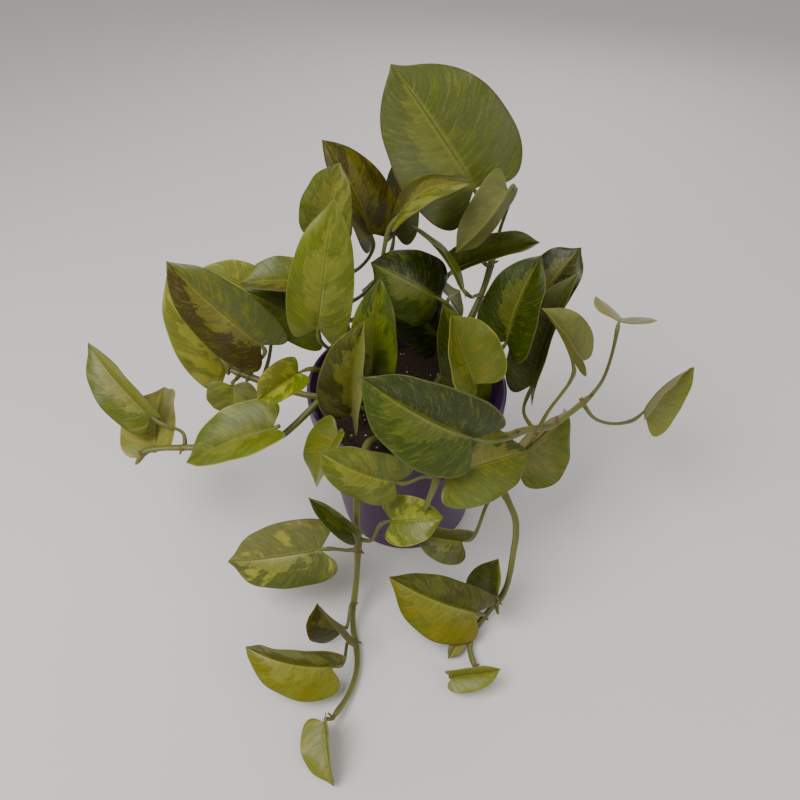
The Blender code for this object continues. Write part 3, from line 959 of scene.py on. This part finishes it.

# %% [markdown]
# ## Streaks, veins and margin
# Close up, a leaf shows fine streaks along its veins, a lighter band on both sides of the
# midrib, a thin margin of another tone, and tiny pale specks. A darker line down the midrib's
# groove is painted shade. These marks could be separate materials, but they cover each other
# only in part. So they are laid on one after another, like thin coats of paint.

# %% Paint the details
# how much each coat covers: 0 is nothing and 1 hides what is below
LIGHT_STREAK = 0.26
DARK_STREAK = 0.34
VEIN_COAT = 0.20
MIDRIB_BAND = 0.35
# painted shade: how strongly the darker line in the midrib's groove covers
MIDRIB_GROOVE_SHADE = 0.70
MARGIN_COAT = 0.55
SPECK_COAT = 0.18
LIGHTER = 0.55
DARKER = 0.60


def detailed(shop, plan, colour, margin):
    """Streaks, veins, midrib with painted shade in its groove, margin and specks on the marbling.
    """
    stretched = shop.vector(plan.vein * 46.0 + plan.seed, plan.across * 3.2, plan.seed)
    streak = shop.noise(stretched, 1.0, 3.0, 0.6)
    lighter = shop.mix(LIGHTER, colour, BUTTER)
    darker = shop.mix(DARKER, colour, INK)
    colour = shop.mix(shop.step(streak, 0.52, 0.70) * LIGHT_STREAK, colour, lighter)
    colour = shop.mix(shop.step(1.0 - streak, 0.52, 0.70) * DARK_STREAK, colour, darker)
    colour = shop.mix(plan.vein_line * (1.0 - plan.reach) * VEIN_COAT, colour, lighter)
    band = 1.0 - shop.step(plan.reach, 0.03, 0.10)
    colour = shop.mix(band * MIDRIB_BAND, colour, lighter)
    # painted shade: a darker line down the midrib's groove
    line = 1.0 - shop.step(plan.reach, 0.008, 0.028)
    colour = shop.mix(line * MIDRIB_GROOVE_SHADE, colour, darker)
    colour = shop.mix(shop.step(plan.reach, 0.955, 0.985) * MARGIN_COAT, colour, margin)
    speck = shop.step(shop.noise(plan.place, 1500.0, 1.0), 0.60, 0.72)
    return shop.mix(speck * SPECK_COAT, colour, BUTTER)


print("details are laid on in thin coats")

# %% [markdown]
# ## The whole finish of a leaf
# A leaf's upper face has a waxy sheen, and its underside is paler and duller. Two materials
# could be given to the two sides, but the margin would then show a hard line. One material
# that changes with the mark on the underside's points fades over the thin edge.

# %% Leaf material
SEED_STEP = 3.7
UNDERSIDE_GREEN = 0.30
LEAF_GLOSS = 0.30


def leaf_skin(name, look):
    """Marbled green with its details, and a paler underside."""
    margin, underside = look[4:]
    shop = Shop(name)
    plan = Plan(shop, float(int(name[-2:])) * SEED_STEP)
    colour = detailed(shop, plan, marbled(shop, plan, look), margin)
    rib = 1.0 - shop.step(plan.reach, 0.02, 0.06)
    dull = shop.mix(UNDERSIDE_GREEN, underside, colour)
    pale = shop.mix(plan.vein_line * 0.14 + rib * 0.3, dull, BUTTER)
    colour = shop.mix(plan.under, colour, pale)
    roughness = 0.25 + 0.22 * shop.noise(plan.place, 70.0) + plan.under * 0.2
    height = shop.noise(plan.place, 700.0) * 0.5 - plan.vein_line * 0.6
    return shop.finish(colour, roughness, height, depth=0.12 * MM, gloss=LEAF_GLOSS)


print("a leaf's finish is ready")

# %% [markdown]
# ## Growing the leaves
# The stalks share one finish: pale olive, greener towards the blade, with fine streaks. Each
# leaf gets its own mesh and paint, because no two are alike, and one step of subdivision
# rounds it off. A finer grid would do that too, at many times the work.

# %% Stalks and leaves
STALK_FOOT = tint(104, 94, 44)
STALK_TOP = tint(94, 98, 38)
STALK_STREAK = tint(80, 82, 30)


def stalk_skin():
    """Pale olive stalk, greener towards the blade, with fine streaks."""
    shop = Shop("stalk")
    place = shop.place()
    colour = shop.mix(shop.attribute("along"), STALK_FOOT, STALK_TOP)
    streak = shop.step(shop.noise(place, 240.0, 3.0), 0.45, 0.65)
    colour = shop.mix(streak * 0.5, colour, STALK_STREAK)
    return shop.finish(colour, 0.42, shop.noise(place, 900.0), depth=0.08 * MM)


stalk_material = stalk_skin()
for name, blade in blades.items():
    thing = put_in_scene(
        name.replace("leaf", "grown_leaf"), leaf_mesh(blade),
        [leaf_skin(name, LOOKS[name]), stalk_material], [name],
    )
    refined(thing, 1)
print(len(blades), "leaves are grown")

# %% [markdown]
# ## Stems with joints
# A pothos stem is smooth and green, with paler stripes along it. At every leaf it has a
# swollen joint with a thin ring-shaped scar, and short brown knobs, which would grow into
# roots if they met soil. The round bar is drawn through many close places, so that it can
# swell and dip at a joint, and each knob is another short bar that tapers.

# %% The run of a stem
STEM_STEP = 3.0 * MM
STEM_SIDES = 12
STEM_FACE = Vector((0.3, 1.0, 0.2))
SCAR_STEPS = (-2.4 * MM, -1.2 * MM, -0.5 * MM, 0.0, 0.5 * MM, 1.2 * MM, 2.4 * MM)
SCAR_WIDTH = 0.55 * MM
SCAR_SWELL = 0.13
STAIN_WIDTH = 3.0 * SCAR_WIDTH
CLOSEST_RINGS = 0.3 * MM
BUD_LENGTH = 5.0 * MM
BUD_TIP = 0.35


def stem_spots(stem, joints):
    """Distances at which a stem's bar has a ring. They lie close together at its joints."""
    count = round(stem.length / STEM_STEP)
    spots = [stem.length * index / count for index in range(count + 1)]
    for distance in joints:
        spots += [distance + offset for offset in SCAR_STEPS]
    kept = []
    for spot in sorted(spot for spot in spots if 0.0 <= spot <= stem.length):
        if not kept or spot - kept[-1] > CLOSEST_RINGS:
            kept.append(spot)
    return kept


def stem_mesh(stem):
    """One stem with its scars and knobs."""
    bm = bmesh.new()
    for name in ("stripe", "joint"):
        bm.verts.layers.float.new(name)
    joints = [distance for distance, foot in stem.joints]
    spots = stem_spots(stem, joints)
    radii = []
    stains = []
    for spot in spots:
        near = min([abs(spot - distance) for distance in joints], default=1.0)
        radius = stem.thickness(spot) * (1.0 + SCAR_SWELL * math.exp(-(near / SCAR_WIDTH) ** 2))
        left = stem.length - spot
        if left < BUD_LENGTH:
            radius *= BUD_TIP + (1.0 - BUD_TIP) * math.sqrt(left / BUD_LENGTH)
        radii.append(radius)
        stains.append(math.exp(-(near / STAIN_WIDTH) ** 2))
    places = [stem.at(spot) for spot in spots]
    bar(bm, places, radii, STEM_SIDES, STEM_FACE, marks={"joint": stains})
    for distance, foot in stem.joints:
        add_knobs(bm, stem, distance, foot)
    return bm


print("a stem gets a ring every", STEM_STEP / MM, "mm and more at its joints")

# %% [markdown]
# ## Root knobs
# The knobs stand on the side of the stem that is turned away from the leaf. On the real plant
# no two are alike, so their number, length and lean are drawn by chance. The chance has a
# fixed start, and the same knobs come out each time.

# %% Draw the knobs
KNOB_SIDES = 6
KNOB_RADIUS = 0.90 * MM
KNOB_LENGTHS = (1.4 * MM, 2.9 * MM)
KNOB_TURN = 0.9
KNOB_LEAN = (-0.2, 0.5)
KNOB_SHIFT = 2.0 * MM
KNOB_BEND = 0.6 * MM
# share of the length, share of the radius, and share of the bend, from the stem outwards
KNOB_SHAPE = ((0.0, 1.0, 0.0), (0.5, 1.0, 0.0), (0.85, 0.85, 1.0), (1.0, 0.5, 2.0))
luck = random.Random(11)


def add_knobs(bm, stem, distance, foot):
    """One or two root knobs under a joint, turned away from its leaf."""
    centre = stem.at(distance)
    way = (stem.at(min(distance + MM, stem.length)) - stem.at(distance - MM)).normalized()
    away = square_to(centre - foot, way)
    for index in range(luck.choice((1, 2))):
        turn = Matrix.Rotation(luck.uniform(-KNOB_TURN, KNOB_TURN), 3, way)
        out = (turn @ away + way * luck.uniform(*KNOB_LEAN)).normalized()
        start = centre + way * luck.uniform(-KNOB_SHIFT, KNOB_SHIFT)
        length = luck.uniform(*KNOB_LENGTHS) + stem.thickness(distance)
        bend = way * luck.uniform(-KNOB_BEND, KNOB_BEND)
        places = [start + out * (share * length) + bend * curl for share, _, curl in KNOB_SHAPE]
        radii = [KNOB_RADIUS * width for _, width, _ in KNOB_SHAPE]
        bar(bm, places, radii, KNOB_SIDES, way, material=1)


print("knobs are", KNOB_RADIUS / MM, "mm thick from their middle out")

# %% [markdown]
# ## The finish of the stems
# A stem is olive, with three paler stripes and a brown stain at each joint. The stripes could
# be a picture wrapped round it, but the bar already marks them on its points, and they follow
# every bend. The knobs are dry and brown.

# %% Stem and knob materials
STEM_DARK = tint(78, 84, 24)
STEM_LIGHT = tint(112, 112, 46)
STEM_STRIPE = tint(148, 142, 82)
STEM_STAIN = tint(96, 66, 34)
STEM_FRECKLE = tint(104, 74, 40)
KNOB_DARK = tint(88, 64, 34)
KNOB_LIGHT = tint(134, 104, 60)


def stem_skin():
    """Olive stem with pale stripes, brownish at its joints."""
    shop = Shop("stem")
    place = shop.place()
    colour = shop.mix(shop.noise(place, 60.0), STEM_DARK, STEM_LIGHT)
    stripe = shop.step(shop.attribute("stripe") + shop.noise(place, 300.0) * 0.5, 0.45, 1.0)
    colour = shop.mix(stripe * 0.45, colour, STEM_STRIPE)
    colour = shop.mix(shop.attribute("joint") * 0.65, colour, STEM_STAIN)
    freckle = shop.step(shop.noise(place, 800.0), 0.62, 0.72)
    colour = shop.mix(freckle * 0.5, colour, STEM_FRECKLE)
    return shop.finish(colour, 0.48, shop.noise(place, 500.0), depth=0.15 * MM)


def knob_skin():
    """Dry brown root."""
    shop = Shop("root_knob")
    place = shop.place()
    colour = shop.mix(shop.noise(place, 900.0), KNOB_DARK, KNOB_LIGHT)
    return shop.finish(colour, 0.8, shop.noise(place, 1500.0), depth=0.2 * MM)


stem_material = stem_skin()
knob_material = knob_skin()
for name, stem in stems.items():
    thing = put_in_scene(
        name.replace("vine", "grown_vine"), stem_mesh(stem),
        [stem_material, knob_material], [name],
    )

# %% [markdown]
# ## The tub
# The tub is thin moulded plastic, dark purple, wider at the top, with a thick rolled lip and
# drain holes in its floor. It was pressed in a mould, so its wall has a slight sheen and very
# faint rings. A profile spun round the axis gives its shape, though not the faint rings, and the
# holes are cut afterwards.
# The sizes are read from the imported pot.

# %% Tub dimensions
pot_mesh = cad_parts["pot"].data
pot_points = [(vert.co.xy.length, vert.co.z) for vert in pot_mesh.vertices]
rim_radius = max(radius for radius, height in pot_points)
pot_height = max(height for radius, height in pot_points)
foot_radius = max(radius for radius, height in pot_points if height < 0.1 * MM)
LIP_HEIGHT = 16.0 * MM
LIP_EDGE = 1.0 * MM
lip_foot = pot_height - LIP_HEIGHT
shoulder_radius = max(r for r, height in pot_points if height < lip_foot + 0.1 * MM)
lip_inside = min(r for r, height in pot_points if height > pot_height - 0.1 * MM)
floor_top = min(h for r, h in pot_points if h > MM and r < 0.5 * foot_radius)
WALL = 1.6 * MM
FOOT_EDGE = 2.0 * MM
POT_SIDES = 112
DRAIN_COUNT = 8
DRAIN_RADIUS = 4.5 * MM
DRAIN_RING_RADIUS = 40.0 * MM
print("tub:", round(rim_radius * 2000), "mm across,", round(pot_height * 1000), "mm high")

# %% [markdown]
# ## Rounded corners and spun shapes
# A moulded edge is never sharp. A bevel could round the tub's edges after it is spun, but it
# would also catch the edges of the thin rings. Here the corners are rounded in the profile, as
# on the mould itself, and the spin carries them all the way round.

# %% Arcs, walls and spinning
def arc(centre, radius, start, end, steps):
    """Corners of a rounded edge: (radius, height) pairs, with angles in degrees."""
    corners = []
    for index in range(steps + 1):
        turn = math.radians(start + (end - start) * index / steps)
        corners.append((centre[0] + radius * math.cos(turn), centre[1] + radius * math.sin(turn)))
    return corners


def spun(profile, sides):
    """Spin a profile of (radius, height) corners round the axis."""
    bm = bmesh.new()
    corners = [bm.verts.new((radius, 0.0, height)) for radius, height in profile]
    edges = [bm.edges.new(pair) for pair in zip(corners, corners[1:])]
    bmesh.ops.spin(
        bm, geom=corners + edges, cent=(0, 0, 0), axis=(0, 0, 1),
        angle=math.tau, steps=sides, use_merge=True,
    )
    bmesh.ops.remove_doubles(bm, verts=bm.verts, dist=1e-6)
    return bm


def wall_line(low, high, inward, steps):
    """Corners up or down the tapered wall, moved inward by the wall's thickness or not."""
    corners = []
    for index in range(steps + 1):
        height = low + (high - low) * index / steps
        share = (height - FOOT_EDGE) / (lip_foot - FOOT_EDGE)
        radius = foot_radius + FOOT_EDGE + (shoulder_radius - foot_radius - FOOT_EDGE) * share
        corners.append((radius - inward, height))
    return corners


print("profiles can be spun")

# %% [markdown]
# ## The tub's wall
# The profile goes once round the cut wall: from the middle of the underside, round the foot,
# up the outside, over the lip, down the inside and back to the middle of the floor.

# %% Spin the tub
profile = [(0.0, 0.0)]
profile += arc((foot_radius, FOOT_EDGE), FOOT_EDGE, -90.0, 0.0, 4)
profile += wall_line(2.0 * FOOT_EDGE, lip_foot - LIP_EDGE, 0.0, 16)
profile += arc((rim_radius - LIP_EDGE, lip_foot + LIP_EDGE), LIP_EDGE, -90.0, 0.0, 3)
profile += arc((rim_radius - LIP_EDGE, pot_height - LIP_EDGE), LIP_EDGE, 0.0, 90.0, 4)
profile += arc((lip_inside, pot_height - 0.6 * LIP_EDGE), 0.6 * LIP_EDGE, 90.0, 180.0, 3)
profile += wall_line(lip_foot - 2.0 * LIP_EDGE, floor_top, WALL, 16)
profile.append((0.0, floor_top))
tub_mesh = spun(profile, POT_SIDES)
print("the profile has", len(profile), "corners")

# %% [markdown]
# ## Purple plastic
# The plastic is dyed right through, with a slight sheen that clouds where it has been handled,
# and some dust. A clear coat would look wet, so only the roughness changes from place to place.

# %% Plastic, and the tub in its place
TUB_DARK = tint(60, 34, 74)
TUB_LIGHT = tint(78, 48, 92)
DUST = tint(120, 104, 100)


def tub_skin():
    """Dark purple plastic, a little clouded and dusty."""
    shop = Shop("tub_plastic")
    place = shop.place()
    cloud = shop.noise(place, 25.0, 3.0)
    colour = shop.mix(cloud, TUB_DARK, TUB_LIGHT)
    dust = shop.step(shop.noise(place, 700.0), 0.62, 0.74)
    colour = shop.mix(dust * 0.15, colour, DUST)
    return shop.finish(
        colour, 0.36 + 0.16 * cloud, shop.noise(place, 1200.0, 2.0), depth=0.04 * MM,
    )


tub = put_in_scene("grown_pot", tub_mesh, [tub_skin()], ["pot"])
print(tub.name, "stands round the axis")

# %% [markdown]
# ## Drain holes
# Water has to leave the tub, through a ring of round holes in its floor. Each hole could be
# left out of the spin, but a round hole doesn't fit the spin's straight spokes. So the holes
# are drilled: a ring of cylinders is taken away from the finished wall.

# %% Drill the floor
DRAIN_SIDES = 24
SHARPEST_ROUND = math.radians(38.0)

drills = bmesh.new()
for index in range(DRAIN_COUNT):
    turn = Matrix.Rotation(math.tau * (index + 0.5) / DRAIN_COUNT, 4, "Z")
    bmesh.ops.create_cone(
        drills, cap_ends=True, segments=DRAIN_SIDES, radius1=DRAIN_RADIUS, radius2=DRAIN_RADIUS,
        depth=6.0 * floor_top, matrix=turn @ Matrix.Translation((DRAIN_RING_RADIUS, 0.0, 0.0)),
    )
drill_mesh = bpy.data.meshes.new("drills")
drills.to_mesh(drill_mesh)
drills.free()
drill = bpy.data.objects.new("drills", drill_mesh)
bpy.context.scene.collection.objects.link(drill)
cut = tub.modifiers.new("drain_holes", "BOOLEAN")
cut.operation = "DIFFERENCE"
cut.solver = "EXACT"
cut.object = drill
bpy.context.view_layer.update()
graph = bpy.context.evaluated_depsgraph_get()
holed = bpy.data.meshes.new_from_object(tub.evaluated_get(graph))
tub.modifiers.clear()
tub.data = holed
bpy.data.objects.remove(drill)
holed.set_sharp_from_angle(angle=SHARPEST_ROUND)
print("the tub has", len(holed.polygons), "faces")

# %% [markdown]
# ## Potting mix
# The mix is dark peat, and its top is uneven. A flat disc with a rough picture on it would
# show a straight line at the tub's wall. Here a spun disc has its top pushed up and down by
# noise, always under the packed soil's highest point.

# %% Build the bed
soil_points = [vert.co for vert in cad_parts["soil"].data.vertices]
soil_top = max(point.z for point in soil_points)
soil_bottom = min(point.z for point in soil_points)
soil_edge = max(point.xy.length for point in soil_points)
bottom_edge = max(point.xy.length for point in soil_points if point.z < soil_bottom + 0.1 * MM)
SOIL_RINGS = 30
SOIL_SIDES = 90
SOIL_LUMP = 2.0 * MM
LUMPS_PER_METRE = 70.0
CRUMBS_PER_METRE = 420.0
PEAT_DARK = tint(26, 20, 14)
PEAT_LIGHT = tint(74, 58, 38)
FIBRE = tint(110, 84, 52)


def soil_height(x, y):
    """Height of the mix at a place."""
    spot = Vector((x, y, 0.0))
    lump = 0.5 + 0.5 * noise.noise(spot * LUMPS_PER_METRE)
    crumb = 0.5 + 0.5 * noise.noise(spot * CRUMBS_PER_METRE)
    return soil_top - SOIL_LUMP * (0.15 + 0.55 * lump + 0.30 * crumb)


def mix_skin():
    """Peat: nearly black, with brown and reddish fibres."""
    shop = Shop("peat")
    place = shop.place()
    colour = shop.mix(shop.noise(place, 500.0, 4.0), PEAT_DARK, PEAT_LIGHT)
    fibre = shop.step(shop.noise(place, 1300.0, 2.0), 0.58, 0.66)
    colour = shop.mix(fibre * 0.5, colour, FIBRE)
    return shop.finish(colour, 0.95, shop.noise(place, 900.0, 4.0), depth=1.2 * MM)


profile = [(0.0, soil_bottom), (bottom_edge, soil_bottom), (soil_edge, soil_top - SOIL_LUMP)]
for index in range(1, SOIL_RINGS + 1):
    profile.append((soil_edge * (1.0 - index / SOIL_RINGS), soil_top))
bed = spun(profile, SOIL_SIDES)
for vert in bed.verts:
    if vert.co.z > soil_top - 0.5 * SOIL_LUMP:
        vert.co.z = soil_height(vert.co.x, vert.co.y)
put_in_scene("grown_soil", bed, [mix_skin()], ["soil"])
print("the mix reaches", round(soil_top / MM), "mm")

# %% [markdown]
# ## Bark crumbs and perlite
# Bark crumbs and a few white grains of perlite lie half sunk in the mix. They could be painted
# on it, but they would then be flat from the side. Each one is a small rough ball, squashed and
# turned by chance, with only a few faces because there are hundreds.

# %% Scatter the crumbs and grains
CRUMBS = 260
CRUMB_SIZES = (0.9 * MM, 2.6 * MM)
GRAINS = 54
GRAIN_SIZES = (0.7 * MM, 1.6 * MM)
WALL_GAP = 3.0 * MM
ROUGHNESS_PER_METRE = 900.0


def grain_skin(name, dark, light):
    """Rough matte grain."""
    shop = Shop(name)
    place = shop.place()
    colour = shop.mix(shop.noise(place, 900.0, 3.0), dark, light)
    return shop.finish(colour, 0.9, shop.noise(place, 1500.0), depth=0.3 * MM)


def scattered(count, sizes, flatness):
    """Small rough lumps lying on the mix, of sizes between the two given."""
    bm = bmesh.new()
    for index in range(count):
        distance = (soil_edge - WALL_GAP) * math.sqrt(luck.random())
        turn = luck.uniform(0.0, math.tau)
        x, y = distance * math.cos(turn), distance * math.sin(turn)
        size = luck.uniform(*sizes)
        height = soil_height(x, y) + 0.1 * size
        place = Matrix.Translation((x, y, min(height, soil_top + MM)))
        spin = Matrix.Rotation(luck.uniform(0.0, math.tau), 4, "Z")
        lean = Matrix.Rotation(luck.uniform(-0.5, 0.5), 4, "X")
        shape = Matrix.Diagonal((size, size * luck.uniform(0.5, 0.9), size * flatness, 1.0))
        lump = bmesh.ops.create_icosphere(
            bm, subdivisions=1, radius=1.0, matrix=place @ spin @ lean @ shape,
        )["verts"]
        for vert in lump:
            vert.co += noise.noise_vector(vert.co * ROUGHNESS_PER_METRE) * 0.18 * size
    return bm


bark = grain_skin("bark", tint(40, 28, 18), tint(96, 70, 44))
perlite = grain_skin("perlite", tint(170, 166, 156), tint(226, 222, 212))
crumbs = scattered(CRUMBS, CRUMB_SIZES, 0.5)
put_in_scene("bark_crumbs", crumbs, [bark], [])
grains = scattered(GRAINS, GRAIN_SIZES, 0.8)
put_in_scene("perlite_grains", grains, [perlite], [])
print(CRUMBS, "crumbs and", GRAINS, "grains lie on the mix")

# %% [markdown]
# ## The floor
# A plain pale floor catches the soft shadow. It could be a thick slab, but only its top is
# seen, so one square face is enough. It is part of the stage and not of the plant.

# %% Floor
FLOOR_HALF_WIDTH = 3.0
FLOOR_PAINT = tint(226, 223, 218)

floor_shape = bmesh.new()
bmesh.ops.create_grid(floor_shape, x_segments=1, y_segments=1, size=FLOOR_HALF_WIDTH)
floor_mesh = bpy.data.meshes.new("floor")
floor_shape.to_mesh(floor_mesh)
floor_shape.free()
floor = bpy.data.objects.new("floor", floor_mesh)
bpy.context.scene.collection.objects.link(floor)
floor_mesh.materials.append(Shop("floor_paint").finish(FLOOR_PAINT, 0.9))
print("the floor is", 2.0 * FLOOR_HALF_WIDTH, "m wide")
